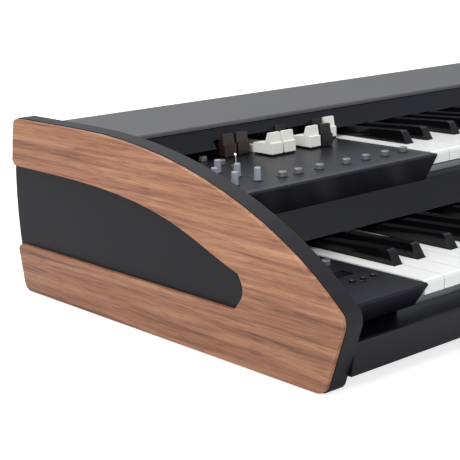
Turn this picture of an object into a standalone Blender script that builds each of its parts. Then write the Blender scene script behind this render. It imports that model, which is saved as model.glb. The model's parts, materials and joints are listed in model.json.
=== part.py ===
"""A two-manual drawbar organ of the portable kind, modelled as its separate pieces.

X runs along the keys to the right, Y from the player to the back, Z up. The origin is under the
middle of the instrument, on the surface that it stands on.
"""

import math

import bmesh
import bpy
from mathutils import Vector

MM = 0.001

# Driving dimensions

OCTAVE = 165 * MM
OCTAVES = 5
KEY_PITCH = OCTAVE / 7
KEY_GAP = 1.0 * MM
WHITE_FRONT = 11 * MM
KEY_LENGTH = 172 * MM
KEY_NOTCH = 43.5 * MM
KEY_RAIL = 24 * MM
KEY_NOSE = 3 * MM
KEY_DIP_CLEARANCE = 9 * MM
KEY_PIVOT_INSET = 6 * MM
FRAME_DEPTH = 5.5 * MM
FRAME_FRONT = 26 * MM
FRAME_REACH = 8 * MM
BLACK_START = 45 * MM
BLACK_SLOPE = 7.5 * MM
BLACK_REAR = 124 * MM
BLACK_FRONT_HEIGHT = 11.6 * MM
BLACK_REAR_HEIGHT = 8.5 * MM
BLACK_HALF = 5.1 * MM
BLACK_TOP_HALF = 4.3 * MM
BLACK_TAIL_HEIGHT = 5.5 * MM
BLACK_CENTRES = {0: 21.2 * MM, 1: 49.5 * MM, 3: 90.9 * MM, 4: 117.9 * MM, 5: 144.8 * MM}

LEFT_BLOCK = 82 * MM
RIGHT_END = 12 * MM
BOARD = 16 * MM
PLATE = 3.7 * MM
PLATE_INSET = 0.7 * MM
FIT = 0.3 * MM
SHEET = 2 * MM

DEPTH = 424 * MM
HEIGHT = 164 * MM
NOSE_OVERHANG = 12.5 * MM
LOWER_TOP = 67 * MM
UPPER_RISE = 60.5 * MM
UPPER_SETBACK = 130 * MM
BLOCK_OVERHANG = 5 * MM
BLOCK_SLANT = 13.5 * MM
BLOCK_FACE = 20 * MM
COVER_EDGE = 1.4 * MM
DECK_FACE = 25.6 * MM
FASCIA_DROP = 24.7 * MM
FASCIA_LEAN = 11.5 * MM
UNDERSIDE = 11.7 * MM
APRON_HEIGHT = 27.3 * MM
LID_TOP = 157 * MM
LID_FRONT = 265 * MM
LID_DEPTH = 126 * MM
LID_LIP = 3.4 * MM
LID_FASCIA_DROP = 17 * MM
LID_FASCIA_LEAN = 12 * MM

DRAWBAR_COUNT = 9
DRAWBAR_FIRST = 28.8 * MM
DRAWBAR_PITCH = 16.25 * MM
DRAWBAR_WIDTH = 13.6 * MM
DRAWBAR_LENGTH = 25 * MM
DRAWBAR_IN = 250.3 * MM
DRAWBAR_PULL = 26.6 * MM
DRAWBAR_PULLED = (2, 3, 5, 6)
DRAWBAR_NOSE = 8.5 * MM
DRAWBAR_TOP = 19 * MM
DRAWBAR_LIFT = 2 * MM
DRAWBAR_STEM = 52 * MM
SLOT_TOP = 16.3 * MM

GRID = 25 * MM
KNOB_ROW = 157 * MM
KNOB_DIAMETER = 6.2 * MM
KNOB_HEIGHT = 11 * MM
SHAFT_DIAMETER = 4 * MM
BUTTON_DIAMETER = 7.6 * MM
BUTTON_HEIGHT = 4.2 * MM
BUTTON_ROW = 153.5 * MM
BUTTON_PLACES = (0, 18.5 * MM, 44 * MM, 77 * MM, 102 * MM, 127 * MM, 152 * MM)
SMALL_BUTTON_DIAMETER = 5.4 * MM
SMALL_BUTTON_HEIGHT = 3 * MM
SMALL_BUTTON_ROW = 36 * MM
SMALL_BUTTON_PLACES = (-41 * MM, -29 * MM, -17.5 * MM)
WINDOW_WIDTH = 30 * MM
WINDOW_DEPTH = 13.5 * MM
WINDOW_FRONT = 53 * MM
TOGGLE_PLACE = (-3 * MM, 209 * MM)

# Worked-out places

WHITES = 7 * OCTAVES + 1
MANUAL = WHITES * KEY_PITCH
CHEEK = BOARD + FIT + PLATE
INNER_WIDTH = LEFT_BLOCK + OCTAVE + MANUAL + RIGHT_END
WIDTH = INNER_WIDTH + 2 * CHEEK
X0 = -WIDTH / 2 + CHEEK + LEFT_BLOCK
Y0 = -DEPTH / 2 + NOSE_OVERHANG
LEFT_IN = -LEFT_BLOCK + FIT
RIGHT_IN = OCTAVE + MANUAL + RIGHT_END - FIT
UPPER_TOP = LOWER_TOP + UPPER_RISE
PANEL_TOP = UPPER_TOP - FIT
BLOCK_TOP = LOWER_TOP - FIT
FOLD_Y = UPPER_SETBACK - BLOCK_OVERHANG - 2 * MM + BLOCK_SLANT
FOLD_Z = PANEL_TOP - DECK_FACE
APRON_TOP = UNDERSIDE + APRON_HEIGHT
BACK_Y = LID_FRONT + LID_DEPTH

COLOURS = {
    "satin_black_paint": ((0.028, 0.030, 0.036, 1), 0.42, 0.0),
    "lid_grey_paint": ((0.10, 0.10, 0.105, 1), 0.5, 0.0),
    "walnut": ((0.36, 0.17, 0.085, 1), 0.45, 0.0),
    "white_key_plastic": ((0.86, 0.86, 0.84, 1), 0.25, 0.0),
    "black_key_plastic": ((0.012, 0.012, 0.013, 1), 0.18, 0.0),
    "galvanised_steel": ((0.55, 0.56, 0.57, 1), 0.45, 1.0),
    "brown_plastic": ((0.07, 0.04, 0.032, 1), 0.4, 0.0),
    "ivory_plastic": ((0.85, 0.82, 0.72, 1), 0.35, 0.0),
    "black_plastic": ((0.02, 0.02, 0.022, 1), 0.4, 0.0),
    "smoke_plastic": ((0.42, 0.45, 0.5, 1), 0.3, 0.0),
    "grey_plastic": ((0.22, 0.22, 0.22, 1), 0.35, 0.2),
    "chrome": ((0.8, 0.8, 0.8, 1), 0.12, 1.0),
    "brass": ((0.7, 0.5, 0.25, 1), 0.3, 1.0),
    "display_glass": ((0.006, 0.006, 0.008, 1), 0.1, 0.0),
    "circuit_board": ((0.02, 0.13, 0.06, 1), 0.5, 0.0),
}


def clear_scene():
    for obj in list(bpy.data.objects):
        bpy.data.objects.remove(obj, do_unlink=True)


def material(name):
    found = bpy.data.materials.get(name)
    if found:
        return found
    colour, roughness, metallic = COLOURS[name]
    made = bpy.data.materials.new(name)
    made.use_nodes = True
    shader = made.node_tree.nodes["Principled BSDF"]
    shader.inputs["Base Color"].default_value = colour
    shader.inputs["Roughness"].default_value = roughness
    shader.inputs["Metallic"].default_value = metallic
    return made


def finish(bm, name):
    """The mesh of this bmesh, with its faces pointing out."""
    bmesh.ops.recalc_face_normals(bm, faces=bm.faces)
    mesh = bpy.data.meshes.new(name)
    bm.to_mesh(mesh)
    bm.free()
    return mesh


def place(name, mesh, paint, at=(0, 0, 0)):
    """An object whose point at the mesh's origin lies at a place measured from low C's front."""
    obj = bpy.data.objects.new(name, mesh)
    bpy.context.scene.collection.objects.link(obj)
    if not mesh.materials:
        mesh.materials.append(material(paint))
    obj.material_slots[0].link = "OBJECT"
    obj.material_slots[0].material = material(paint)
    obj.location = (X0 + at[0], Y0 + at[1], at[2])
    return obj


def prism_into(bm, outline, axis, low, high):
    """Extrude a closed outline along X (points are y, z) or along Z (points are x, y)."""
    if axis == "X":
        ring = [bm.verts.new((low, a, b)) for a, b in outline]
    else:
        ring = [bm.verts.new((a, b, low)) for a, b in outline]
    face = bm.faces.new(ring)
    moved = bmesh.ops.extrude_face_region(bm, geom=[face])
    step = Vector((high - low, 0, 0)) if axis == "X" else Vector((0, 0, high - low))
    made = [item for item in moved["geom"] if isinstance(item, bmesh.types.BMVert)]
    bmesh.ops.translate(bm, verts=made, vec=step)
    return ring + made


def prism(name, outline, axis, low, high):
    bm = bmesh.new()
    prism_into(bm, outline, axis, low, high)
    return finish(bm, name)


def box_into(bm, low, high):
    (x0, y0, z0), (x1, y1, z1) = low, high
    return prism_into(bm, [(x0, y0), (x1, y0), (x1, y1), (x0, y1)], "Z", z0, z1)


def lathe_into(bm, profile, steps, centre=(0, 0)):
    """Turn a profile of (radius, z) points, which starts and ends on the axis."""
    rings = []
    for radius, z in profile:
        if radius == 0:
            rings.append([bm.verts.new((centre[0], centre[1], z))])
            continue
        turn = [2 * math.pi * i / steps for i in range(steps)]
        ring = [(centre[0] + radius * math.cos(t), centre[1] + radius * math.sin(t), z) for t in turn]
        rings.append([bm.verts.new(point) for point in ring])
    for under, over in zip(rings, rings[1:]):
        for i in range(steps):
            j = (i + 1) % steps
            corners = [under[i % len(under)], under[j % len(under)], over[j % len(over)], over[i % len(over)]]
            bm.faces.new(list(dict.fromkeys(corners)))


def lathe(name, profile, steps):
    bm = bmesh.new()
    lathe_into(bm, profile, steps)
    mesh = finish(bm, name)
    mesh.shade_smooth()
    mesh.set_sharp_from_angle(angle=math.radians(35))
    return mesh


def helper(name, bm):
    """A hidden mesh that cuts or joins another one."""
    obj = place(name, finish(bm, name), "satin_black_paint")
    obj.hide_render = True
    obj.display_type = "WIRE"
    return obj


def boolean(obj, other, operation="DIFFERENCE"):
    modifier = obj.modifiers.new(other.name, "BOOLEAN")
    modifier.operation = operation
    modifier.solver = "EXACT"
    modifier.object = other


def baked(obj):
    """The object's mesh with its Boolean applied, for copies to share."""
    graph = bpy.context.evaluated_depsgraph_get()
    mesh = bpy.data.meshes.new_from_object(obj.evaluated_get(graph))
    helpers = [modifier.object for modifier in obj.modifiers]
    for old in [obj, *helpers]:
        bpy.data.objects.remove(old, do_unlink=True)
    return mesh


def arc(centre, radius, start, end, steps):
    """Points on an arc, in degrees from the first axis of the outline's plane."""
    angles = [math.radians(start + (end - start) * i / steps) for i in range(steps + 1)]
    return [(centre[0] + radius * math.cos(a), centre[1] + radius * math.sin(a)) for a in angles]


def bezier(a, b, c, d, steps):
    """Points on a cubic curve, without its first one."""
    made = []
    for i in range(1, steps + 1):
        t = i / steps
        weights = ((1 - t) ** 3, 3 * (1 - t) ** 2 * t, 3 * (1 - t) * t * t, t**3)
        made.append(tuple(sum(w * p[k] for w, p in zip(weights, (a, b, c, d))) for k in (0, 1)))
    return made


# Cheeks

NOSE_RADIUS = 15 * MM
NOSE_HEIGHT = 57 * MM
TOE = 10 * MM
TOE_SETBACK = 12 * MM
HEEL = 9 * MM
HEEL_TUCK = 12 * MM
SHOULDER = 7 * MM
SHOULDER_TUCK = 8 * MM
REAR_BULGE = 9.9 * MM
SWEEP_END = 312 * MM
RECESS_BOTTOM = 44.5 * MM
RECESS_TOP = 119 * MM
RECESS_FRONT = 105 * MM
RECESS_RADIUS = 12.5 * MM
LIMB_ROUND = 7 * MM


def rear_edge(z, inset):
    """The cheek's rear edge is an arc that bulges most a little above its middle."""
    low, high = DEPTH - HEEL_TUCK, DEPTH - SHOULDER_TUCK
    share = z / HEIGHT
    return low + (high - low) * share + 4 * REAR_BULGE * share * (1 - share) - inset


def sweep(inset):
    """The top edge, from above the nose to the level stretch, as a curve."""
    start = (NOSE_OVERHANG * 0.12 + inset, NOSE_HEIGHT + NOSE_RADIUS * 0.5 - inset)
    top = HEIGHT - inset
    return start, bezier(start, (62 * MM, 121 * MM - inset), (172 * MM, top), (SWEEP_END, top), 14)


def cheek_outline(inset):
    """Points (y, z) round the cheek from its front toe, along the bottom, up the rear and over the top."""
    toe_y = TOE_SETBACK + TOE + inset
    toe = arc((toe_y + 4 * MM, TOE + inset), TOE, 190, 270, 4)
    heel_y = rear_edge(HEEL, inset)
    heel = arc((heel_y - HEEL, HEEL + inset), HEEL, 270, 345, 4)
    rise = [HEEL * 1.6 + (HEIGHT - SHOULDER * 2.6 - HEEL * 1.6) * i / 7 for i in range(8)]
    rear = [(rear_edge(z, inset), z) for z in rise]
    top_y = rear_edge(HEIGHT - SHOULDER, inset)
    shoulder = arc((top_y - SHOULDER, HEIGHT - inset - SHOULDER), SHOULDER, 20, 90, 4)
    start, curve = sweep(inset)
    over = [*curve[::-1], start]
    nose = arc((NOSE_RADIUS + inset * 0.5, NOSE_HEIGHT), NOSE_RADIUS - inset * 0.5, 160, 195, 4)
    return toe + heel + rear + shoulder + over + nose


def recess_outline():
    """The black field's edge in the walnut plate, open to the rear, from its upper to its lower end."""
    top_rear = rear_edge(RECESS_TOP, PLATE_INSET)
    bottom_rear = rear_edge(RECESS_BOTTOM, PLATE_INSET)
    upper = arc((top_rear - LIMB_ROUND, RECESS_TOP + LIMB_ROUND), LIMB_ROUND, -15, -90, 4)
    start = (DEPTH - 60 * MM, RECESS_TOP)
    nose_top = (RECESS_FRONT + 5 * MM, 74.5 * MM)
    curve = bezier(start, (190 * MM, RECESS_TOP), (172 * MM, 93 * MM), nose_top, 12)
    nose = arc((RECESS_FRONT + RECESS_RADIUS, 62 * MM), RECESS_RADIUS, 155, 215, 5)
    corner = arc((RECESS_FRONT + 14 * MM, RECESS_BOTTOM + 8 * MM), 8 * MM, 215, 270, 4)
    lower = arc((bottom_rear - LIMB_ROUND, RECESS_BOTTOM - LIMB_ROUND), LIMB_ROUND, 90, 15, 4)
    return upper + [start] + curve + nose + corner + lower


def plate_outline():
    """The walnut plate runs round the recess, so its rear edge stops at the two limbs."""
    outline = cheek_outline(PLATE_INSET)
    low = RECESS_BOTTOM - LIMB_ROUND
    high = RECESS_TOP + LIMB_ROUND
    middle = (low + high) / 2
    behind = DEPTH - 60 * MM
    first = [i for i, (y, z) in enumerate(outline) if y > behind and z < low]
    last = [i for i, (y, z) in enumerate(outline) if y > behind and z > high]
    recess = [point for point in recess_outline()]
    assert low < middle < high
    return outline[: max(first) + 1] + recess[::-1] + outline[min(last) :]


def cheeks():
    board = [(y - NOSE_OVERHANG, z) for y, z in cheek_outline(0)]
    plate = [(y - NOSE_OVERHANG, z) for y, z in plate_outline()]
    left, right = -LEFT_BLOCK, RIGHT_IN + FIT
    place("left_cheek_board", prism("left_board", board, "X", left - BOARD, left), "satin_black_paint")
    place("right_cheek_board", prism("right_board", board, "X", right, right + BOARD), "satin_black_paint")
    place("left_walnut_plate", prism("left_plate", plate, "X", left - CHEEK, left - BOARD - FIT), "walnut")
    outer = right + CHEEK
    place("right_walnut_plate", prism("right_plate", plate, "X", outer - PLATE, outer), "walnut")


# Casing

def folded(points, sheet):
    """A folded sheet's outline: the outer path, then back along it one sheet inward, on its left."""
    inner = []
    for i, point in enumerate(points):
        here = Vector(point)
        ways = []
        if i > 0:
            ways.append((here - Vector(points[i - 1])).normalized())
        if i < len(points) - 1:
            ways.append((Vector(points[i + 1]) - here).normalized())
        sides = [Vector((-way.y, way.x)) for way in ways]
        middle = sum(sides, Vector((0, 0))).normalized()
        inner.append(tuple(here + middle * sheet / middle.dot(sides[0])))
    return list(points) + inner[::-1]


def block_path(front, top, face, foot, chamfer):
    """A cover's profile: back to front along the top, down the slanted face and under."""
    edge = [(front + chamfer, top), (front, top - chamfer)]
    return [(foot[0], top), *edge, (front + BLOCK_SLANT, top - face), (foot[1], top - face)]


def block(name, span, front, top, face, foot, hollow):
    """A folded cover with one end wall; hollow is the stretch along X that is open inside."""
    path = block_path(front, top, face, foot, COVER_EDGE)
    obj = place(name, prism(name, path, "X", *span), "satin_black_paint")
    sharp = [path[0], (front - BLOCK_SLANT * COVER_EDGE / (face - COVER_EDGE), top), *path[3:]]
    inner = folded(sharp, SHEET)[len(sharp) :]
    far = foot[0] + SHEET
    bm = bmesh.new()
    cavity = [(far, inner[0][1]), *inner[1:-1], (far, inner[-1][1])]
    prism_into(bm, cavity, "X", *hollow)
    boolean(obj, helper(name + "_hollow", bm))
    return obj


def round_holes(obj, places, top):
    """Cut a round hole through the sheet under each (x, y, diameter)."""
    bm = bmesh.new()
    for x, y, diameter in places:
        r = diameter / 2
        lathe_into(bm, [(0, top - 3 * SHEET), (r, top - 3 * SHEET), (r, top + SHEET), (0, top + SHEET)], 16, (x, y))
    boolean(obj, helper(obj.name + "_holes", bm))


def knob_places():
    grid = [(-GRID * column, KNOB_ROW + GRID * row) for row in range(3) for column in (1, 2)]
    return grid + [(-GRID * 1.5, KNOB_ROW + GRID * 3)]


def button_places():
    front_row = [(x, BUTTON_ROW) for x in BUTTON_PLACES]
    return front_row + [(1 * MM, KNOB_ROW + GRID * row) for row in (3, 4)]


def lower_button_place():
    return (SMALL_BUTTON_PLACES[-1], WINDOW_FRONT + 34 * MM)


def lower_blocks():
    foot = (UPPER_SETBACK + 5 * MM, 28 * MM)
    front = -BLOCK_OVERHANG
    edge = -1.5 * MM
    hollow = (LEFT_IN - SHEET, edge - SHEET)
    left = block("lower_left_block", (LEFT_IN, edge), front, BLOCK_TOP, BLOCK_FACE, foot, hollow)
    small = [(x, SMALL_BUTTON_ROW, SMALL_BUTTON_DIAMETER + 2 * FIT) for x in SMALL_BUTTON_PLACES]
    round_holes(left, small + [(*lower_button_place(), BUTTON_DIAMETER + 2 * FIT)], BLOCK_TOP)
    bm = bmesh.new()
    right_side = -20 * MM
    low = (right_side - WINDOW_WIDTH, WINDOW_FRONT, BLOCK_TOP - 2 * SHEET)
    box_into(bm, low, (right_side, WINDOW_FRONT + WINDOW_DEPTH, BLOCK_TOP + SHEET))
    boolean(left, helper("window_cutter", bm))
    glass = prism(
        "glass",
        [
            (low[0] + FIT, low[1] + FIT),
            (right_side - FIT, low[1] + FIT),
            (right_side - FIT, WINDOW_FRONT + WINDOW_DEPTH - FIT),
            (low[0] + FIT, WINDOW_FRONT + WINDOW_DEPTH - FIT),
        ],
        "Z",
        BLOCK_TOP - SHEET,
        BLOCK_TOP - SHEET / 2,
    )
    place("display_window", glass, "display_glass")
    start = MANUAL + 1.5 * MM
    block("lower_right_block", (start, RIGHT_IN), front, BLOCK_TOP, BLOCK_FACE, foot, (start + SHEET, RIGHT_IN + SHEET))


def control_panel():
    front = UPPER_SETBACK - BLOCK_OVERHANG - 2 * MM
    foot = (LID_FRONT + 45 * MM, FOLD_Y + 16 * MM)
    edge = OCTAVE - 1.5 * MM
    panel = block(
        "upper_control_panel",
        (LEFT_IN, edge),
        front,
        PANEL_TOP,
        DECK_FACE - FIT,
        foot,
        (LEFT_IN - SHEET, edge - SHEET),
    )
    holes = [(x, y, SHAFT_DIAMETER + 2 * FIT) for x, y in knob_places()]
    holes += [(x, y, BUTTON_DIAMETER + 2 * FIT) for x, y in button_places()]
    holes.append((*TOGGLE_PLACE, 6 * MM))
    round_holes(panel, holes, PANEL_TOP)
    start = OCTAVE + MANUAL + 1.5 * MM
    path = block_path(front, PANEL_TOP, DECK_FACE - FIT, (foot[0] - 8 * MM, foot[1]), COVER_EDGE)
    solid = [*path[:4], (foot[0] - 8 * MM, PANEL_TOP - DECK_FACE + FIT)]
    place("upper_right_block", prism("end_block", solid, "X", start, RIGHT_IN), "satin_black_paint")


def fascias():
    back = FOLD_Y + 26 * MM
    path = [(back, FOLD_Z), (FOLD_Y, FOLD_Z), (FOLD_Y - FASCIA_LEAN, FOLD_Z - FASCIA_DROP)]
    place("upper_fascia", prism("fascia", folded(path, SHEET), "X", LEFT_IN, RIGHT_IN), "satin_black_paint")
    top = LID_TOP - LID_LIP - FIT
    face_y = LID_FRONT + 1 * MM
    path = [(face_y + 24 * MM, top), (face_y, top), (face_y - LID_FASCIA_LEAN, top - LID_FASCIA_DROP)]
    lid_fascia = prism("lid_fascia", folded(path, SHEET), "X", LEFT_IN, RIGHT_IN)
    obj = place("lid_fascia", lid_fascia, "satin_black_paint")
    bm = bmesh.new()
    side = DRAWBAR_PITCH * 0.85
    last = DRAWBAR_FIRST + DRAWBAR_PITCH * (DRAWBAR_COUNT - 1)
    low = (DRAWBAR_FIRST - side, face_y - 2 * LID_FASCIA_LEAN, PANEL_TOP)
    box_into(bm, low, (last + side * 0.6, face_y + 10 * MM, PANEL_TOP + SLOT_TOP))
    boolean(obj, helper("slot_cutter", bm))


def lid_and_back():
    lip = 1.2 * MM
    path = [
        (BACK_Y, LID_TOP),
        (LID_FRONT + lip, LID_TOP),
        (LID_FRONT, LID_TOP - lip),
        (LID_FRONT, LID_TOP - LID_LIP),
    ]
    place("top_lid", prism("lid", folded(path, SHEET), "X", LEFT_IN, RIGHT_IN), "lid_grey_paint")
    low = UNDERSIDE + SHEET + FIT
    high = LID_TOP - SHEET - FIT
    rear = BACK_Y - 1 * MM
    path = [(rear - 14 * MM, low), (rear, low), (rear, high)]
    inset = SHEET + FIT
    panel = prism("rear_panel", folded(path, SHEET), "X", LEFT_IN + inset, RIGHT_IN - inset)
    obj = place("rear_panel", panel, "satin_black_paint")
    bm = bmesh.new()
    for x, width, height in ((INLET_X, INLET_WIDTH, INLET_HEIGHT), (SWITCH_X, SWITCH_WIDTH, SWITCH_HEIGHT)):
        half, tall = width / 2 + FIT, height / 2 + FIT
        box_into(bm, (x - half, rear - 6 * MM, SOCKET_Z - tall), (x + half, rear + 4 * MM, SOCKET_Z + tall))
    boolean(obj, helper("socket_cutter", bm))


INLET_WIDTH = 27 * MM
INLET_HEIGHT = 20 * MM
SWITCH_WIDTH = 13 * MM
SWITCH_HEIGHT = 19 * MM
SOCKET_Z = 70 * MM
INLET_X = 890 * MM
SWITCH_X = INLET_X + 34 * MM
SWITCH_TILT = 8


def rear_sockets():
    rear = BACK_Y - 1 * MM
    bm = bmesh.new()
    half, tall = INLET_WIDTH / 2, INLET_HEIGHT / 2
    box_into(bm, (-half, -24 * MM, -tall), (half, 1.2 * MM, tall))
    inlet = place("power_inlet", finish(bm, "inlet"), "black_plastic", (INLET_X, rear, SOCKET_Z))
    bm = bmesh.new()
    box_into(bm, (-half * 0.72, -12 * MM, -tall * 0.6), (half * 0.72, 3 * MM, tall * 0.6))
    cutter = helper("inlet_cutter", bm)
    cutter.location = inlet.location
    boolean(inlet, cutter)
    half, tall = SWITCH_WIDTH / 2, SWITCH_HEIGHT / 2
    profile = [(-14 * MM, -tall + 3 * MM), (0.5 * MM, -tall), (1.2 * MM, 0), (0.5 * MM, tall), (-14 * MM, tall - 3 * MM)]
    rocker = prism("rocker", profile, "X", -half, half)
    place("power_switch", rocker, "black_plastic", (SWITCH_X, rear, SOCKET_Z))


def base_and_apron():
    inset = SHEET + FIT
    start = 24 * MM
    wall = 26 * MM
    low, high = LEFT_IN, RIGHT_IN
    bm = bmesh.new()
    section = [(low, 0), (high, 0), (high, wall), (high - SHEET, wall), (high - SHEET, SHEET)]
    section += [(low + SHEET, SHEET), (low + SHEET, wall), (low, wall)]
    ring = [bm.verts.new((x, start, UNDERSIDE + z)) for x, z in section]
    moved = bmesh.ops.extrude_face_region(bm, geom=[bm.faces.new(ring)])
    made = [item for item in moved["geom"] if isinstance(item, bmesh.types.BMVert)]
    bmesh.ops.translate(bm, verts=made, vec=Vector((0, BACK_Y - inset - start, 0)))
    place("base_tray", finish(bm, "base"), "galvanised_steel")
    rolled = 2.2 * MM
    path = [
        (start - FIT, APRON_TOP),
        (-BLOCK_OVERHANG + rolled, APRON_TOP),
        (-BLOCK_OVERHANG + rolled * 0.25, APRON_TOP - rolled * 0.35),
        (-BLOCK_OVERHANG, APRON_TOP - rolled),
        (-1 * MM, UNDERSIDE),
        (start - FIT, UNDERSIDE),
    ]
    place("front_apron", prism("apron", folded(path, SHEET), "X", LEFT_IN, RIGHT_IN), "satin_black_paint")


# Keys

def white_sides(i):
    """(head left, head right, tail left, tail right) of white key number i, counted from low C."""
    octave, note = divmod(i, 7)
    left = i * KEY_PITCH + KEY_GAP / 2
    right = (i + 1) * KEY_PITCH - KEY_GAP / 2
    clear = BLACK_HALF + KEY_GAP
    tail_left, tail_right = left, right
    if note - 1 in BLACK_CENTRES:
        tail_left = octave * OCTAVE + BLACK_CENTRES[note - 1] + clear
    if note in BLACK_CENTRES and i < WHITES - 1:
        tail_right = octave * OCTAVE + BLACK_CENTRES[note] - clear
    return left, right, tail_left, tail_right


def white_edge(i, back):
    """The key's plan from its tail's left side round its front to its tail's right side."""
    left, right, tail_left, tail_right = white_sides(i)
    points = [(tail_left, back)]
    if tail_left != left:
        points += [(tail_left, KEY_NOTCH), (left, KEY_NOTCH)]
    points += [(left, 0), (right, 0)]
    if tail_right != right:
        points += [(right, KEY_NOTCH), (tail_right, KEY_NOTCH)]
    return points + [(tail_right, back)]


def white_mesh(name, outline):
    """Extrude the plan and roll the top front edge of each key over."""
    bm = bmesh.new()
    prism_into(bm, outline, "Z", -WHITE_FRONT, 0)
    bmesh.ops.recalc_face_normals(bm, faces=bm.faces)
    fronts = [
        edge
        for edge in bm.edges
        if all(abs(vert.co.y) < 1e-6 and abs(vert.co.z) < 1e-6 for vert in edge.verts)
    ]
    bmesh.ops.bevel(bm, geom=fronts, offset=KEY_NOSE, segments=2, profile=0.5, affect="EDGES")
    return finish(bm, name)


def black_profile(over_rail):
    """A black key's side: steep front, top that falls to the rear, low tail out to the pivot."""
    rail = KEY_LENGTH - KEY_RAIL - KEY_GAP
    under = [(rail, FIT), (rail, -WHITE_FRONT)] if over_rail else [(KEY_LENGTH, -WHITE_FRONT)]
    return [
        (BLACK_START, -WHITE_FRONT),
        (BLACK_START, 0),
        (BLACK_START + BLACK_SLOPE * 0.85, BLACK_FRONT_HEIGHT * 0.9),
        (BLACK_START + BLACK_SLOPE * 1.2, BLACK_FRONT_HEIGHT),
        (BLACK_REAR, BLACK_REAR_HEIGHT),
        (BLACK_REAR + 1 * MM, BLACK_TAIL_HEIGHT),
        (KEY_LENGTH, BLACK_TAIL_HEIGHT),
        *([(KEY_LENGTH, FIT)] if over_rail else []),
        *under,
    ]


def black_into(bm, x, over_rail=False):
    """One black key, narrower at its top than at its foot."""
    made = prism_into(bm, black_profile(over_rail), "X", x - BLACK_HALF, x + BLACK_HALF)
    narrow = (BLACK_HALF - BLACK_TOP_HALF) / BLACK_FRONT_HEIGHT
    for vert in made:
        if vert.co.z > 0:
            side = 1 if vert.co.x > x else -1
            vert.co.x -= side * narrow * vert.co.z


def black_places():
    return [o * OCTAVE + centre for o in range(OCTAVES) for centre in BLACK_CENTRES.values()]


def moving_key(name, mesh, paint, corner):
    """Its origin goes to the pivot at its rear end."""
    pivot = Vector((0, KEY_LENGTH - KEY_PIVOT_INSET, -WHITE_FRONT / 2))
    for vert in mesh.vertices:
        vert.co -= pivot
    place(name, mesh, paint, (corner[0], corner[1] + pivot.y, corner[2] + pivot.z))


def manual(prefix, corner, legs, loose_whites, loose_blacks, reach):
    """One keyboard: its frame, the keys that are modelled alone, and the rest as two sets."""
    notes = "cdefgab"
    for i in range(loose_whites):
        name = f"{prefix}_key_{notes[i]}"
        moving_key(name, white_mesh(name, white_edge(i, KEY_LENGTH)), "white_key_plastic", corner)
    for i in range(loose_blacks):
        name = f"{prefix}_key_{notes[i]}_sharp"
        bm = bmesh.new()
        black_into(bm, black_places()[i])
        moving_key(name, finish(bm, name), "black_key_plastic", corner)
    rail = KEY_LENGTH - KEY_RAIL
    outline = [point for i in range(loose_whites, WHITES) for point in white_edge(i, rail)]
    outline += [(outline[-1][0], KEY_LENGTH), (outline[0][0], KEY_LENGTH)]
    place(prefix + "_white_keys", white_mesh(prefix + "_whites", outline), "white_key_plastic", corner)
    bm = bmesh.new()
    blacks = black_places()[loose_blacks:]
    low = (blacks[0] - BLACK_TOP_HALF, rail + 1 * MM, KEY_GAP + FIT)
    box_into(bm, low, (blacks[-1] + BLACK_TOP_HALF, KEY_LENGTH - 1 * MM, BLACK_TAIL_HEIGHT - KEY_GAP))
    bar = place(prefix + "_black_keys", finish(bm, prefix + "_bar"), "black_key_plastic", corner)
    bm = bmesh.new()
    for x in blacks:
        black_into(bm, x, over_rail=True)
    teeth = helper(prefix + "_black_teeth", bm)
    teeth.location = bar.location
    boolean(bar, teeth, "UNION")
    under = -WHITE_FRONT
    floor = under - KEY_DIP_CLEARANCE - FRAME_DEPTH
    front, rear, shelf = FRAME_FRONT, KEY_LENGTH + FRAME_REACH, KEY_LENGTH - KEY_PIVOT_INSET
    outline = [
        (front, legs),
        (front, under - KEY_DIP_CLEARANCE),
        (front + 8 * MM, under - KEY_DIP_CLEARANCE),
        (front + 8 * MM, floor + SHEET),
        (shelf, floor + SHEET),
        (shelf, under - FIT),
        (rear, under - FIT),
        (rear, reach),
        (rear - SHEET, reach),
        (rear - SHEET, floor),
    ]
    if legs < floor:
        outline += [(front + SHEET, floor), (front + SHEET, legs)]
    frame = prism(prefix + "_frame", outline, "X", -1 * MM, MANUAL + 1 * MM)
    place(prefix + "_key_frame", frame, "galvanised_steel", corner)


def manuals():
    ground = UNDERSIDE + SHEET + FIT
    manual("lower", (0, 0, LOWER_TOP), ground - LOWER_TOP, 2, 1, ground - LOWER_TOP)
    floor = -WHITE_FRONT - KEY_DIP_CLEARANCE - FRAME_DEPTH
    manual("upper", (OCTAVE, UPPER_SETBACK, UPPER_TOP), floor, 1, 1, ground - UPPER_TOP)


# Controls

def drawbar_mesh():
    """The cap with its low rear nose and tall finger block, on its slide, which runs back under the lid."""
    bm = bmesh.new()
    profile = [
        (0, 0),
        (DRAWBAR_LENGTH, 0),
        (DRAWBAR_LENGTH, DRAWBAR_NOSE),
        (9.6 * MM, DRAWBAR_NOSE + 1 * MM),
        (6.4 * MM, DRAWBAR_TOP),
        (3.4 * MM, DRAWBAR_TOP),
        (2.4 * MM, DRAWBAR_NOSE + 1.6 * MM),
        (0.4 * MM, DRAWBAR_NOSE + 1 * MM),
    ]
    half = DRAWBAR_WIDTH / 2
    made = prism_into(bm, profile, "X", -half, half)
    for vert in made:
        if vert.co.z > DRAWBAR_TOP - 1 * MM:
            vert.co.x *= 0.92
    cap = place("cap", finish(bm, "cap"), "ivory_plastic")
    bm = bmesh.new()
    stem = 3 * MM
    low = (-stem, 3 * MM, FIT - DRAWBAR_LIFT)
    box_into(bm, low, (stem, DRAWBAR_LENGTH + DRAWBAR_STEM, DRAWBAR_NOSE - 3.5 * MM))
    boolean(cap, helper("slide", bm), "UNION")
    return baked(cap)


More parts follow.
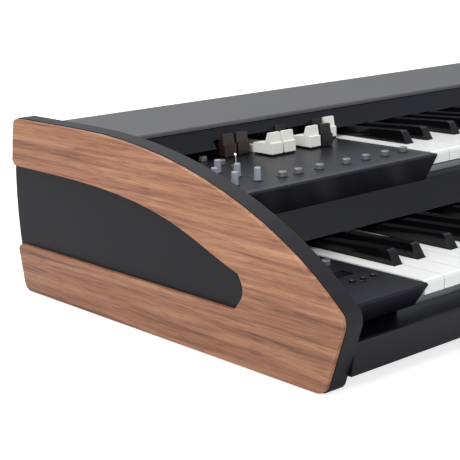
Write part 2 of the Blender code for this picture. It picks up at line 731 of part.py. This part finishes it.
def drawbars():
    mesh = drawbar_mesh()
    colours = "brown brown ivory ivory black ivory black black ivory".split()
    for i in range(DRAWBAR_COUNT):
        y = DRAWBAR_IN - (DRAWBAR_PULL if i in DRAWBAR_PULLED else 0)
        at = (DRAWBAR_FIRST + DRAWBAR_PITCH * i, y, PANEL_TOP + DRAWBAR_LIFT)
        place(f"drawbar_{i + 1}", mesh, colours[i] + "_plastic", at)


def knobs():
    r, shaft, top = KNOB_DIAMETER / 2, SHAFT_DIAMETER / 2, KNOB_HEIGHT
    deep = -4 * SHEET
    profile = [(0, deep), (shaft, deep), (shaft, FIT), (r, FIT), (r * 0.92, top - 0.6 * MM), (r * 0.75, top), (0, top)]
    mesh = lathe("knob", profile, 14)
    for i, (x, y) in enumerate(knob_places()):
        place(f"knob_{i + 1}", mesh, "smoke_plastic", (x, y, PANEL_TOP))


def push_button_mesh(name, diameter, height):
    r, edge, deep = diameter / 2, 0.5 * MM, -2.5 * SHEET
    return lathe(name, [(0, deep), (r, deep), (r, height - edge), (r - edge, height), (0, height)], 14)


def buttons():
    mesh = push_button_mesh("button", BUTTON_DIAMETER, BUTTON_HEIGHT)
    for i, (x, y) in enumerate(button_places()):
        place(f"panel_button_{i + 1}", mesh, "grey_plastic", (x, y, PANEL_TOP))
    place("lower_button_round", mesh, "grey_plastic", (*lower_button_place(), BLOCK_TOP))
    small = push_button_mesh("small_button", SMALL_BUTTON_DIAMETER, SMALL_BUTTON_HEIGHT)
    for i, x in enumerate(SMALL_BUTTON_PLACES):
        place(f"lower_button_{i + 1}", small, "black_plastic", (x, SMALL_BUTTON_ROW, BLOCK_TOP))


def toggle():
    nut, bore, lift = 4 * MM, 2.6 * MM, 2.6 * MM
    bm = bmesh.new()
    turn = [math.radians(60 * i) for i in range(6)]
    prism_into(bm, [(nut * math.cos(t), nut * math.sin(t)) for t in turn], "Z", FIT, lift)
    obj = place("toggle_nut", finish(bm, "nut"), "brass", (*TOGGLE_PLACE, PANEL_TOP))
    bm = bmesh.new()
    lathe_into(bm, [(0, -lift), (bore, -lift), (bore, 2 * lift), (0, 2 * lift)], 16)
    cutter = helper("nut_cutter", bm)
    cutter.location = obj.location
    boolean(obj, cutter)
    rod, ball = 1.3 * MM, 1.5 * MM
    profile = [(0, -3 * MM), (1.9 * MM, -2.2 * MM), (2.1 * MM, 0), (rod, 3.2 * MM), (1.0 * MM, 9.5 * MM)]
    profile += [(ball, 10.6 * MM), (ball * 0.7, 12 * MM), (0, 12.4 * MM)]
    lever = lathe("lever", profile, 12)
    place("toggle_lever", lever, "chrome", (*TOGGLE_PLACE, PANEL_TOP + 1 * MM))


def main_board():
    ground = UNDERSIDE + SHEET + FIT
    bm = bmesh.new()
    box_into(bm, (0, 0, 8 * MM), (190 * MM, 90 * MM, 9.6 * MM))
    obj = place("main_board", finish(bm, "board"), "circuit_board", (60 * MM, 210 * MM, ground))
    bm = bmesh.new()
    for x in (8 * MM, 182 * MM):
        for y in (8 * MM, 82 * MM):
            lathe_into(bm, [(0, 0), (3 * MM, 0), (3 * MM, 8.8 * MM), (0, 8.8 * MM)], 10, (x, y))
    box_into(bm, (60 * MM, 30 * MM, 9 * MM), (88 * MM, 58 * MM, 12.4 * MM))
    box_into(bm, (120 * MM, 34 * MM, 9 * MM), (138 * MM, 48 * MM, 11.6 * MM))
    posts = helper("board_posts", bm)
    posts.location = obj.location
    boolean(obj, posts, "UNION")


clear_scene()
cheeks()
base_and_apron()
lower_blocks()
control_panel()
fascias()
lid_and_back()
rear_sockets()
manuals()
drawbars()
knobs()
buttons()
toggle()
main_board()
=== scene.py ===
"""Materials, edges and light for a two-manual drawbar organ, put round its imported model."""

# %% [markdown]
# # A two-manual drawbar organ
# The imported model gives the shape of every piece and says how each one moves. This script rounds the
# pieces' edges, adds a few small parts that the model leaves out, gives every surface its material
# and sets up the camera and the light. X runs along the keys, Y from the player to the back, Z up.

# %% Tools and the model
import json
import math

import bmesh
import bpy
from mathutils import Matrix, Vector


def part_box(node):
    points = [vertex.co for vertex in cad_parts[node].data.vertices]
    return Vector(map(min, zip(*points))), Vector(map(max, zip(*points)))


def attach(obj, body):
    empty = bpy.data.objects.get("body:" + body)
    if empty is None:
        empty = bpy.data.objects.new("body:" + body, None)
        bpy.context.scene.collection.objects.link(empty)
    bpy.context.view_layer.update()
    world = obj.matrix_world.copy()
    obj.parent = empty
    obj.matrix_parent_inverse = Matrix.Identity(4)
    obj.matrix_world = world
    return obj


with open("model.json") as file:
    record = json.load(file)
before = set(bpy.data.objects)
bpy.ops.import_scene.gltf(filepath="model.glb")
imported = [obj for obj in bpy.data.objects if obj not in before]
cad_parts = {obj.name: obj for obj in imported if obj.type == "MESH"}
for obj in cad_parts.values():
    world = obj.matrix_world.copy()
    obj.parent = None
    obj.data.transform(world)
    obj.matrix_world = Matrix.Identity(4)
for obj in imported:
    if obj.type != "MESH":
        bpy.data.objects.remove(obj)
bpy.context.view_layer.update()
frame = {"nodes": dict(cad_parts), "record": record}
MM = 0.001

# %% [markdown]
# ## Camera
# The photo is a close view from the left, a little above the keys, through a long lens. The place,
# turn and lens come from fitting straight lines of the keyboards, whose octave is taken as 165 mm.
# The camera starts out looking straight down, so its tilt is counted back from a quarter turn.

# %% Camera
CAMERA_PLACE = Vector((-1.19179, -0.7995, 0.337))
CAMERA_YAW = -41.23
CAMERA_PITCH = 13.75
CAMERA_ROLL = -1.45
LENS = 99.78
SENSOR_WIDTH = 36
NEAREST = 10 * MM

camera_data = bpy.data.cameras.new("camera")
camera_data.lens = LENS
camera_data.sensor_width = SENSOR_WIDTH
camera_data.clip_start = NEAREST
camera = bpy.data.objects.new("camera", camera_data)
turn = Matrix.Rotation(math.radians(CAMERA_YAW), 4, "Z")
tilt = Matrix.Rotation(math.radians(90 - CAMERA_PITCH), 4, "X")
roll = Matrix.Rotation(math.radians(CAMERA_ROLL), 4, "Z")
camera.matrix_world = Matrix.Translation(CAMERA_PLACE) @ turn @ tilt @ roll
bpy.context.scene.collection.objects.link(camera)
bpy.context.scene.camera = camera
bpy.context.scene.view_settings.view_transform = "Standard"
print("camera", [round(value, 3) for value in CAMERA_PLACE])

# %% [markdown]
# ## Lamps
# A wide soft lamp hangs high over the back of the organ. A second one lights it from the left, where
# the camera stands, and a third one fills in from the front. Large lamps give soft shadows. Sizes are
# in metres and power is in watts.

# %% Lamps
LAMPS = {
    "overhead": {"place": (-0.5, 0.5, 1.7), "aim": (-0.2, 0, 0), "size": (2.2, 1.2), "power": 26},
    "left_fill": {"place": (-1.9, -0.6, 0.9), "aim": (-0.5, 0, 0.05), "size": (1.0, 1.0), "power": 11},
    "front_fill": {"place": (0.2, -1.9, 0.7), "aim": (0, 0, 0.05), "size": (1.6, 0.8), "power": 9},
}


def lamp(name, place, aim, size, power):
    """A rectangular lamp that faces a point."""
    data = bpy.data.lights.new(name, "AREA")
    data.shape = "RECTANGLE"
    data.size, data.size_y = size
    data.energy = power
    made = bpy.data.objects.new(name, data)
    made.location = place
    made.rotation_euler = (Vector(aim) - Vector(place)).to_track_quat("-Z", "Y").to_euler()
    bpy.context.scene.collection.objects.link(made)


for name, facts in LAMPS.items():
    lamp(name, **facts)
print(len(LAMPS), "lamps")

# %% [markdown]
# ## World and floor
# The world is white where the camera sees it, and a softer, slightly blue light for everything else.
# The floor is pale, and glows for the camera only, so it reads as white and still takes a faint shadow.

# %% World and floor
WORLD_COLOUR = (0.93, 0.96, 1, 1)
WORLD_STRENGTH = 0.55
FLOOR_HALF = 6
FLOOR_DROP = 0.5 * MM
FLOOR_COLOUR = (0.66, 0.66, 0.66, 1)
FLOOR_ROUGHNESS = 0.9
FLOOR_GLOW = 0.72
WHITE = (1, 1, 1, 1)


def link(tree, source, target):
    tree.links.new(source, target)


def node(tree, kind, sockets=None, **settings):
    """A node with its settings, and with values on its input sockets, by name or number."""
    made = tree.nodes.new(kind)
    for key, value in settings.items():
        setattr(made, key, value)
    for key, value in (sockets or {}).items():
        made.inputs[key].default_value = value
    return made


def mesh_object(name, bm):
    """An object at the origin with this bmesh's shape, linked to the scene."""
    mesh = bpy.data.meshes.new(name)
    bm.to_mesh(mesh)
    bm.free()
    made = bpy.data.objects.new(name, mesh)
    bpy.context.scene.collection.objects.link(made)
    return made


def new_material(name):
    """(material, its node tree, its Principled shader)"""
    paint = bpy.data.materials.new(name)
    paint.use_nodes = True
    tree = paint.node_tree
    return paint, tree, tree.nodes["Principled BSDF"]


def lit_world():
    """White to the camera, and soft light to everything else."""
    world = bpy.data.worlds.new("studio")
    world.use_nodes = True
    tree = world.node_tree
    light = tree.nodes["Background"]
    light.inputs["Color"].default_value = WORLD_COLOUR
    light.inputs["Strength"].default_value = WORLD_STRENGTH
    seen = node(tree, "ShaderNodeBackground", {"Color": WHITE})
    path = node(tree, "ShaderNodeLightPath")
    mix = node(tree, "ShaderNodeMixShader")
    link(tree, path.outputs["Is Camera Ray"], mix.inputs["Fac"])
    link(tree, light.outputs[0], mix.inputs[1])
    link(tree, seen.outputs[0], mix.inputs[2])
    link(tree, mix.outputs[0], tree.nodes["World Output"].inputs["Surface"])
    bpy.context.scene.world = world


def floor():
    """A wide pale sheet just under the organ's feet."""
    bm = bmesh.new()
    bmesh.ops.create_grid(bm, x_segments=1, y_segments=1, size=FLOOR_HALF)
    made = mesh_object("floor", bm)
    made.location.z = -FLOOR_DROP
    paint, tree, shader = new_material("floor")
    shader.inputs["Base Color"].default_value = FLOOR_COLOUR
    shader.inputs["Roughness"].default_value = FLOOR_ROUGHNESS
    shader.inputs["Emission Color"].default_value = WHITE
    path = node(tree, "ShaderNodeLightPath")
    glow = node(tree, "ShaderNodeMath", {1: FLOOR_GLOW}, operation="MULTIPLY")
    link(tree, path.outputs["Is Camera Ray"], glow.inputs[0])
    link(tree, glow.outputs[0], shader.inputs["Emission Strength"])
    made.data.materials.append(paint)


lit_world()
floor()
print("floor", 2 * FLOOR_HALF, "m wide")

# %% [markdown]
# ## Shared shader effects
# Two effects are used by many materials, so each is a node group. The first one, mottled, lets a
# colour drift in large patches and fine grain, and gives the grain as a bump. The groups hold only
# colour and bump work, and each material keeps its own shader.

# %% Node group: mottled
GRAIN_DEPTH = 0.2 * MM


def group(name, inputs, outputs):
    """(node group, its input node, its output node), with inputs as (name, kind, value)"""
    tree = bpy.data.node_groups.new(name, "ShaderNodeTree")
    for label, kind, value in inputs:
        tree.interface.new_socket(label, in_out="INPUT", socket_type=kind).default_value = value
    for label, kind in outputs:
        tree.interface.new_socket(label, in_out="OUTPUT", socket_type=kind)
    return tree, tree.nodes.new("NodeGroupInput"), tree.nodes.new("NodeGroupOutput")


def mottled_group():
    """A colour that drifts in large patches and fine grain, with the grain as bump."""
    inputs = [
        ("Color", "NodeSocketColor", (0.5, 0.5, 0.5, 1)),
        ("Patch Scale", "NodeSocketFloat", 9.0),
        ("Grain Scale", "NodeSocketFloat", 900.0),
        ("Drift", "NodeSocketFloat", 0.15),
        ("Bump", "NodeSocketFloat", 0.1),
    ]
    outputs = [
        ("Color", "NodeSocketColor"),
        ("Grain", "NodeSocketFloat"),
        ("Normal", "NodeSocketVector"),
    ]
    tree, source, target = group("mottled", inputs, outputs)
    where = node(tree, "ShaderNodeTexCoord")
    patch = node(tree, "ShaderNodeTexNoise", {"Detail": 3.0})
    grain = node(tree, "ShaderNodeTexNoise", {"Detail": 5.0, "Roughness": 0.6})
    for texture, scale in ((patch, "Patch Scale"), (grain, "Grain Scale")):
        link(tree, where.outputs["Object"], texture.inputs["Vector"])
        link(tree, source.outputs[scale], texture.inputs["Scale"])

    # Both noises lie round a half, so taking one from their sum leaves a drift round zero.
    both = node(tree, "ShaderNodeMath", operation="ADD")
    centred = node(tree, "ShaderNodeMath", {1: 1.0}, operation="SUBTRACT")
    amount = node(tree, "ShaderNodeMath", operation="MULTIPLY")
    gain = node(tree, "ShaderNodeMath", {1: 1.0}, operation="ADD")
    link(tree, patch.outputs["Fac"], both.inputs[0])
    link(tree, grain.outputs["Fac"], both.inputs[1])
    link(tree, both.outputs[0], centred.inputs[0])
    link(tree, centred.outputs[0], amount.inputs[0])
    link(tree, source.outputs["Drift"], amount.inputs[1])
    link(tree, amount.outputs[0], gain.inputs[0])

    colour = node(tree, "ShaderNodeVectorMath", operation="SCALE")
    bump = node(tree, "ShaderNodeBump", {"Distance": GRAIN_DEPTH})
    link(tree, source.outputs["Color"], colour.inputs[0])
    link(tree, gain.outputs[0], colour.inputs["Scale"])
    link(tree, grain.outputs["Fac"], bump.inputs["Height"])
    link(tree, source.outputs["Bump"], bump.inputs["Strength"])
    link(tree, colour.outputs[0], target.inputs["Color"])
    link(tree, grain.outputs["Fac"], target.inputs["Grain"])
    link(tree, bump.outputs[0], target.inputs["Normal"])
    return tree


MOTTLED = mottled_group()
print("node group:", MOTTLED.name)

# %% [markdown]
# The second one, worn, mixes a lighter colour in along the sharp edges. There the bevel node's rounded
# normal leaves the true one, and the angle between the two says how much of the edge colour shows.

# %% Node group: worn
WEAR_WIDTH = 1.5 * MM
WEAR_NOISE = {"Scale": 160.0, "Detail": 4.0}
FLAT_COSINE = 0.999
EDGE_COSINE = 0.86

# A mix node has sockets of the same name for every kind of data, so the colour ones go by number.
MIX_FIRST_COLOUR = 6
MIX_SECOND_COLOUR = 7
MIX_COLOUR_RESULT = 2


def worn_group():
    """Mixes a lighter colour in along the sharp edges, broken up by noise."""
    inputs = [
        ("Color", "NodeSocketColor", (0.5, 0.5, 0.5, 1)),
        ("Edge Color", "NodeSocketColor", (0.8, 0.8, 0.8, 1)),
        ("Width", "NodeSocketFloat", WEAR_WIDTH),
        ("Amount", "NodeSocketFloat", 0.5),
    ]
    tree, source, target = group("worn", inputs, [("Color", "NodeSocketColor")])
    bevel = node(tree, "ShaderNodeBevel", samples=4)
    shape = node(tree, "ShaderNodeNewGeometry")
    same = node(tree, "ShaderNodeVectorMath", operation="DOT_PRODUCT")
    edge = node(tree, "ShaderNodeMapRange", {"From Min": FLAT_COSINE, "From Max": EDGE_COSINE})
    link(tree, source.outputs["Width"], bevel.inputs["Radius"])
    link(tree, bevel.outputs[0], same.inputs[0])
    link(tree, shape.outputs["Normal"], same.inputs[1])
    link(tree, same.outputs["Value"], edge.inputs["Value"])

    where = node(tree, "ShaderNodeTexCoord")
    noise = node(tree, "ShaderNodeTexNoise", WEAR_NOISE)
    broken = node(tree, "ShaderNodeMath", operation="MULTIPLY")
    amount = node(tree, "ShaderNodeMath", operation="MULTIPLY", use_clamp=True)
    link(tree, where.outputs["Object"], noise.inputs["Vector"])
    link(tree, edge.outputs[0], broken.inputs[0])
    link(tree, noise.outputs["Fac"], broken.inputs[1])
    link(tree, broken.outputs[0], amount.inputs[0])
    link(tree, source.outputs["Amount"], amount.inputs[1])

    mix = node(tree, "ShaderNodeMix", data_type="RGBA")
    link(tree, amount.outputs[0], mix.inputs["Factor"])
    link(tree, source.outputs["Color"], mix.inputs[MIX_FIRST_COLOUR])
    link(tree, source.outputs["Edge Color"], mix.inputs[MIX_SECOND_COLOUR])
    link(tree, mix.outputs[MIX_COLOUR_RESULT], target.inputs["Color"])
    return tree


WORN = worn_group()
print("node group:", WORN.name)

# %% [markdown]
# ## Paint, plastic and metal
# These share one recipe: a mottled colour, worn edges, a roughness that follows the grain and a fine
# bump. A recipe's colours are linear, and what stands under shader is set on the material's shader.

# %% The shared recipe
ROUGHNESS_SPREAD = 0.12
GRAIN_LOW = 0.3
GRAIN_HIGH = 0.7


def use(tree, made_group, sockets):
    """A node that runs a node group, with values on its inputs."""
    return node(tree, "ShaderNodeGroup", sockets, node_tree=made_group)


def coated(name, colour, roughness, edge, bump=0.08, drift=0.15, grain=900.0, wear=0.5, shader=None):
    """A mottled coat with worn edges."""
    paint, tree, principled = new_material(name)
    mottling = {"Color": (*colour, 1), "Drift": drift, "Bump": bump, "Grain Scale": grain}
    base = use(tree, MOTTLED, mottling)
    worn = use(tree, WORN, {"Edge Color": (*edge, 1), "Amount": wear})
    band = {
        "From Min": GRAIN_LOW,
        "From Max": GRAIN_HIGH,
        "To Min": roughness * (1 - ROUGHNESS_SPREAD),
        "To Max": roughness * (1 + ROUGHNESS_SPREAD),
    }
    rough = node(tree, "ShaderNodeMapRange", band)
    link(tree, base.outputs["Color"], worn.inputs["Color"])
    link(tree, base.outputs["Grain"], rough.inputs["Value"])
    link(tree, worn.outputs["Color"], principled.inputs["Base Color"])
    link(tree, rough.outputs[0], principled.inputs["Roughness"])
    link(tree, base.outputs["Normal"], principled.inputs["Normal"])
    for key, value in (shader or {}).items():
        principled.inputs[key].default_value = value
    return paint


print("one recipe for paint, plastic and metal")

# %% [markdown]
# The black paints and the black keys have a low specular level, so that the pale surroundings don't
# turn them grey. The keys are the smoothest here, and the white ones hardly drift in colour.

# %% Paint and plastic
RECIPES = {
    "satin_black_paint": {
        "colour": (0.005, 0.005, 0.0085),
        "roughness": 0.36,
        "edge": (0.05, 0.052, 0.07),
        "bump": 0.12,
        "shader": {"Specular IOR Level": 0.28},
    },
    "board_paint": {
        "colour": (0.012, 0.0118, 0.015),
        "roughness": 0.42,
        "edge": (0.05, 0.05, 0.06),
        "bump": 0.15,
        "shader": {"Specular IOR Level": 0.25},
    },
    "lid_grey_paint": {
        "colour": (0.075, 0.073, 0.077),
        "roughness": 0.42,
        "edge": (0.3, 0.3, 0.31),
        "bump": 0.14,
    },
    "white_key_plastic": {
        "colour": (0.82, 0.82, 0.8),
        "roughness": 0.22,
        "edge": (0.9, 0.9, 0.88),
        "drift": 0.03,
        "bump": 0.02,
    },
    "black_key_plastic": {
        "colour": (0.003, 0.003, 0.0035),
        "roughness": 0.11,
        "edge": (0.03, 0.03, 0.034),
        "bump": 0.02,
        "shader": {"Specular IOR Level": 0.35},
    },
    "brown_plastic": {
        "colour": (0.026, 0.015, 0.013),
        "roughness": 0.3,
        "edge": (0.11, 0.08, 0.07),
    },
    "ivory_plastic": {
        "colour": (0.9, 0.885, 0.82),
        "roughness": 0.28,
        "edge": (0.95, 0.94, 0.9),
        "drift": 0.04,
        "bump": 0.05,
    },
    "black_plastic": {
        "colour": (0.006, 0.006, 0.007),
        "roughness": 0.3,
        "edge": (0.06, 0.06, 0.065),
    },
    "smoke_plastic": {
        "colour": (0.5, 0.54, 0.62),
        "roughness": 0.25,
        "edge": (0.8, 0.83, 0.9),
        "drift": 0.03,
        "bump": 0.02,
        "shader": {"Transmission Weight": 0.4},
    },
    "grey_plastic": {
        "colour": (0.2, 0.2, 0.205),
        "roughness": 0.3,
        "edge": (0.5, 0.5, 0.52),
        "drift": 0.06,
        "bump": 0.03,
        "shader": {"Metallic": 0.35},
    },
}
PAINTS = {name: coated(name, **recipe) for name, recipe in RECIPES.items()}
print(len(PAINTS), "paints and plastics")

# %% [markdown]
# The toggle is a chrome lever in a brass nut, and the window on the lower left block is dark glass.
# The steel tray and key frames and the main board are mostly hidden. They still differ from the rest,
# with a coarse grain on the steel and a stronger bump on the board.

# %% Metal, glass and circuit board
METALS = {
    "chrome": {
        "colour": (0.78, 0.78, 0.8),
        "roughness": 0.12,
        "edge": (0.9, 0.9, 0.9),
        "drift": 0.03,
        "bump": 0.02,
        "shader": {"Metallic": 1.0},
    },
    "brass": {
        "colour": (0.66, 0.48, 0.26),
        "roughness": 0.3,
        "edge": (0.85, 0.7, 0.45),
        "shader": {"Metallic": 1.0},
    },
    "galvanised_steel": {
        "colour": (0.5, 0.51, 0.52),
        "roughness": 0.42,
        "edge": (0.7, 0.7, 0.72),
        "grain": 60.0,
        "shader": {"Metallic": 1.0},
    },
    "display_glass": {
        "colour": (0.006, 0.006, 0.009),
        "roughness": 0.08,
        "edge": (0.03, 0.03, 0.035),
        "bump": 0.01,
    },
    "circuit_board": {
        "colour": (0.02, 0.12, 0.055),
        "roughness": 0.4,
        "edge": (0.3, 0.28, 0.16),
        "bump": 0.2,
        "grain": 400.0,
    },
}
for name, recipe in METALS.items():
    PAINTS[name] = coated(name, **recipe)
print(len(METALS), "more")

# %% [markdown]
# ## Walnut
# The plates are what the eye goes to. Two noises, stretched from front to back, make streaks that lean
# a little, and a colour ramp turns them into three browns. A third one, much finer, cuts thin dark
# pores. A painted shade makes the wood a little darker towards the foot and a little lighter at the top.
# Noise in three dimensions needs no picture and shows no seam at the plate's edges.

# %% Walnut
STREAK_LEAN = math.radians(-4)
STREAK_STRETCH = (8, 2.2, 60)
PORE_STRETCH = (300, 45, 900)
FINE_SHARE = 0.35
DARK_BROWN = (0.14, 0.05, 0.024, 1)
MIDDLE_BROWN = (0.37, 0.152, 0.077, 1)
LIGHT_BROWN = (0.56, 0.285, 0.15, 1)
DARK_AT = 0.46
MIDDLE_AT = 0.66
LIGHT_AT = 0.9
WORN_BROWN = (0.5, 0.3, 0.18, 1)
PORE_DEPTH = 0.2 * MM


def streaks(tree, where):
    """(colour of the streaks, their broad waves)"""
    lean = node(tree, "ShaderNodeMapping", {"Rotation": (STREAK_LEAN, 0, 0), "Scale": STREAK_STRETCH})
    broad = {"Scale": 2.6, "Detail": 7.0, "Roughness": 0.62, "Distortion": 0.5}
    waves = node(tree, "ShaderNodeTexNoise", broad)
    fine = node(tree, "ShaderNodeTexNoise", {"Scale": 14.0, "Detail": 6.0, "Roughness": 0.7})
    figure = node(tree, "ShaderNodeMath", {1: FINE_SHARE}, operation="MULTIPLY_ADD")
    tones = node(tree, "ShaderNodeValToRGB")
    stops = tones.color_ramp.elements
    stops[0].position, stops[0].color = DARK_AT, DARK_BROWN
    stops[1].position, stops[1].color = LIGHT_AT, LIGHT_BROWN
    stops.new(MIDDLE_AT).color = MIDDLE_BROWN
    link(tree, where.outputs["Object"], lean.inputs["Vector"])
    link(tree, lean.outputs[0], waves.inputs["Vector"])
    link(tree, lean.outputs[0], fine.inputs["Vector"])
    link(tree, fine.outputs["Fac"], figure.inputs[0])
    link(tree, waves.outputs["Fac"], figure.inputs[2])
    link(tree, figure.outputs[0], tones.inputs["Fac"])
    return tones.outputs["Color"], waves.outputs["Fac"]


def pore_shade(tree, where):
    """One on plain wood, and less in the pores."""
    stretch = node(tree, "ShaderNodeMapping", {"Scale": PORE_STRETCH})
    pores = node(tree, "ShaderNodeTexNoise", {"Scale": 1.0, "Detail": 3.0})
    band = {"From Min": 0.3, "From Max": 0.45, "To Min": 0.62, "To Max": 1.0}
    shade = node(tree, "ShaderNodeMapRange", band)
    link(tree, where.outputs["Object"], stretch.inputs["Vector"])
    link(tree, stretch.outputs[0], pores.inputs["Vector"])
    link(tree, pores.outputs["Fac"], shade.inputs["Value"])
    return shade.outputs[0]


def painted_foot_shade(tree, where):
    """Painted shade: less towards the foot, and a little over one at the top."""
    height = node(tree, "ShaderNodeSeparateXYZ")
    band = {"From Min": 0.02, "From Max": 0.13, "To Min": 0.88, "To Max": 1.04}
    shade = node(tree, "ShaderNodeMapRange", band)
    link(tree, where.outputs["Object"], height.inputs[0])
    link(tree, height.outputs["Z"], shade.inputs["Value"])
    return shade.outputs[0]


def walnut():
    """Long streaks that run front to back, with painted shade darker towards the foot, and open pores."""
    paint, tree, shader = new_material("walnut")
    where = node(tree, "ShaderNodeTexCoord")
    tone, waves = streaks(tree, where)
    pores = pore_shade(tree, where)
    gain = node(tree, "ShaderNodeMath", operation="MULTIPLY")
    colour = node(tree, "ShaderNodeVectorMath", operation="SCALE")
    worn = use(tree, WORN, {"Edge Color": WORN_BROWN, "Amount": 0.4})
    # Painted shade: the wood gets darker towards the foot and a little lighter at the top.
    link(tree, painted_foot_shade(tree, where), gain.inputs[0])
    link(tree, pores, gain.inputs[1])
    link(tree, tone, colour.inputs[0])
    link(tree, gain.outputs[0], colour.inputs["Scale"])
    link(tree, colour.outputs[0], worn.inputs["Color"])
    link(tree, worn.outputs["Color"], shader.inputs["Base Color"])

    bump = node(tree, "ShaderNodeBump", {"Strength": 0.25, "Distance": PORE_DEPTH})
    rough = node(tree, "ShaderNodeMapRange", {"To Min": 0.5, "To Max": 0.34})
    link(tree, pores, bump.inputs["Height"])
    link(tree, bump.outputs[0], shader.inputs["Normal"])
    link(tree, waves, rough.inputs["Value"])
    link(tree, rough.outputs[0], shader.inputs["Roughness"])
    shader.inputs["Coat Weight"].default_value = 0.15
    shader.inputs["Coat Roughness"].default_value = 0.3
    return paint


PAINTS["walnut"] = walnut()
print(len(PAINTS), "materials in all")

# %% [markdown]
# ## Finish on the model's pieces
# Each node takes the material that the record names for it. Real edges are never quite sharp, and a
# rounded one catches a line of light. A bevel modifier rounds most pieces by 0.4 to 1.2 mm, and leaves
# the meshes under it as they were packed.

# %% Materials and rounded edges
ROUNDING = {
    "white_key_plastic": 0.5 * MM,
    "black_key_plastic": 0.8 * MM,
    "ivory_plastic": 0.7 * MM,
    "brown_plastic": 0.7 * MM,
    "black_plastic": 0.4 * MM,
    "walnut": 0.8 * MM,
    "board_paint": 1.2 * MM,
    "satin_black_paint": 0.5 * MM,
    "lid_grey_paint": 0.5 * MM,
}
ROUNDING_SEGMENTS = 3
SHARP_ANGLE = math.radians(32)

slots = {part["node"]: part["material_slot"] for part in frame["record"]["subparts"]}
for name, obj in frame["nodes"].items():
    obj.data.materials.clear()
    obj.data.materials.append(PAINTS[slots[name]])
    if slots[name] in ROUNDING:
        bevel = obj.modifiers.new("rounding", "BEVEL")
        bevel.width = ROUNDING[slots[name]]
        bevel.segments = ROUNDING_SEGMENTS
        bevel.limit_method = "ANGLE"
        bevel.angle_limit = SHARP_ANGLE
        bevel.use_clamp_overlap = True
        bevel.harden_normals = True
print("finished", len(slots), "nodes")

# %% [markdown]
# ## Collars
# A dark collar lies on the casing round every knob and button. It rides on the casing, so it stays
# when its knob turns or its button goes down. It is made by turning a five-point profile round an
# axis, because a plain cylinder has no opening.

# %% Collars
COLLAR_GAP = 0.35 * MM
COLLAR_WIDTH = 1.0 * MM
KNOB_COLLAR_WIDTH = 1.6 * MM
COLLAR_HEIGHT = 0.5 * MM
COLLAR_SLOPE = 0.2 * MM
COLLAR_STEPS = 40


def ring(name, place, inner, outer, height):
    """A flat ring with a sloped outer edge, as one closed strip turned round an axis."""
    bm = bmesh.new()
    shoulder = height - COLLAR_SLOPE
    section = [(inner, 0), (outer, 0), (outer, shoulder), (outer - COLLAR_SLOPE, height), (inner, height)]
    rows = []
    for i in range(COLLAR_STEPS):
        t = 2 * math.pi * i / COLLAR_STEPS
        points = [Vector((r * math.cos(t), r * math.sin(t), z)) for r, z in section]
        rows.append([bm.verts.new(Vector(place) + point) for point in points])
    count = len(section)
    for i in range(COLLAR_STEPS):
        here, there = rows[i], rows[(i + 1) % COLLAR_STEPS]
        for k in range(count):
            after = (k + 1) % count
            face = bm.faces.new((here[k], there[k], there[after], here[after]))
            # Only the outer wall and the slope above it are shaded smooth.
            face.smooth = k in (1, 2)
    bmesh.ops.recalc_face_normals(bm, faces=bm.faces)
    made = mesh_object(name, bm)
    made.data.materials.append(PAINTS["black_plastic"])
    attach(made, "casing")


panel_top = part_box("upper_control_panel")[1][2]
block_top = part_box("lower_left_block")[1][2]
collars = 0
for name in frame["nodes"]:
    if not name.startswith(("knob_", "panel_button_", "lower_button_")):
        continue
    low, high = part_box(name)
    middle = ((low[0] + high[0]) / 2, (low[1] + high[1]) / 2)
    inner = (high[0] - low[0]) / 2 + COLLAR_GAP
    top = block_top if name.startswith("lower") else panel_top
    wide = KNOB_COLLAR_WIDTH if name.startswith("knob_") else COLLAR_WIDTH
    ring("collar_" + name, (*middle, top), inner, inner + wide, COLLAR_HEIGHT)
    collars += 1
print(collars, "collars")

# %% [markdown]
# ## Drawbar feet
# A dark foot under each drawbar's cap slides with it, just clear of the panel. It is partly the slide's
# dark base and partly painted shade under the cap. A cube that is scaled and bevelled is enough for a
# piece this small.

# %% Drawbar feet
DRAWBARS = 9
FOOT_INSET = 0.3 * MM
FOOT_LENGTH = 24 * MM
FOOT_LOW = 0.4 * MM
FOOT_HIGH = 1.9 * MM
FOOT_ROUNDING = 0.3 * MM


def slab(name, low, high, rounding, paint, body):
    """A box between two corners with its edges rounded over."""
    bm = bmesh.new()
    bmesh.ops.create_cube(bm, size=1)
    bmesh.ops.scale(bm, vec=Vector(high) - Vector(low), verts=bm.verts)
    bmesh.ops.translate(bm, vec=(Vector(low) + Vector(high)) / 2, verts=bm.verts)
    bmesh.ops.bevel(bm, geom=bm.edges[:], offset=rounding, segments=2, profile=0.5, affect="EDGES")
    made = mesh_object(name, bm)
    made.data.materials.append(PAINTS[paint])
    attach(made, body)


for i in range(1, DRAWBARS + 1):
    low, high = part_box(f"drawbar_{i}")
    start = (low[0] + FOOT_INSET, low[1] + FOOT_INSET, panel_top + FOOT_LOW)
    end = (high[0] - FOOT_INSET, low[1] + FOOT_LENGTH, panel_top + FOOT_HIGH)
    # Each foot is partly the slide's dark base and partly painted shade under the cap.
    slab(f"drawbar_foot_and_shade_{i}", start, end, FOOT_ROUNDING, "black_plastic", f"drawbar_{i}")
print(DRAWBARS, "feet")

# %% [markdown]
# ## Printed lines
# A fine line runs along the front of the control panel and up its right side. It is a very thin slab
# and not a texture, so it needs no picture either.

# %% Printed lines
LINE_WIDTH = 0.5 * MM
LINE_HEIGHT = 0.12 * MM
LINE_INSET = 6 * MM
LINE_ROUNDING = 0.03 * MM
SIDE_LINE_END = 100 * MM

low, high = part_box("upper_control_panel")
left, right = low[0] + LINE_INSET, high[0] - LINE_INSET
front, back = low[1] + LINE_INSET, low[1] + SIDE_LINE_END
LINES = {
    "front": (left, front, right, front + LINE_WIDTH),
    "right": (right - LINE_WIDTH, front, right, back),
}
for side, (x0, y0, x1, y1) in LINES.items():
    corners = (x0, y0, panel_top), (x1, y1, panel_top + LINE_HEIGHT)
    slab("panel_line_" + side, *corners, LINE_ROUNDING, "grey_plastic", "casing")
print(len(LINES), "lines")
